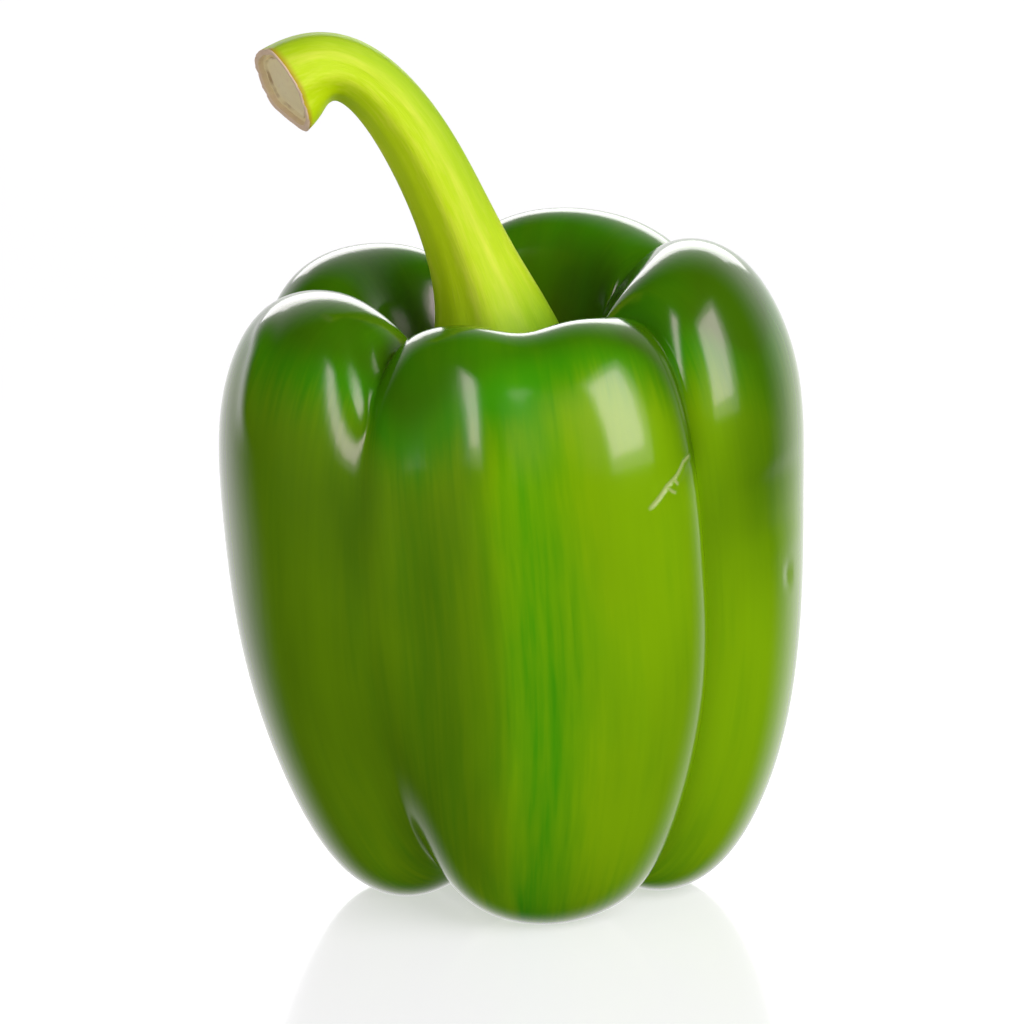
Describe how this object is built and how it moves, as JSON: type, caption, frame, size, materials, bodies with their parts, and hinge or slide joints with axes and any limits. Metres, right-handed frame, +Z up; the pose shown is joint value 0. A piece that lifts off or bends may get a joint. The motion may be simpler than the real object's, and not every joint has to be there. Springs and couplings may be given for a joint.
{
  "type": "bell pepper",
  "caption": "Whole green bell pepper: a blocky, glossy, lobed fruit standing upright, with its curved, cut stem and calyx.",
  "frame": {"origin": "on the ground, under the middle of the object's bounding box", "axes": "+Z up, from the resting lobes to the stem; the broad front lobe faces -Y; the stem leans towards -X"},
  "size_m": [0.0818, 0.0804, 0.1228],
  "materials": {
    "pepper_skin": "waxy, glossy deep green skin with yellower streaks",
    "stem_green": "satin yellow-green, ridged along its length, pale tan cut end"
  },
  "bodies": {
    "root": {"fruit": "pepper_skin", "stem": "stem_green"}
  },
  "joints": []
}
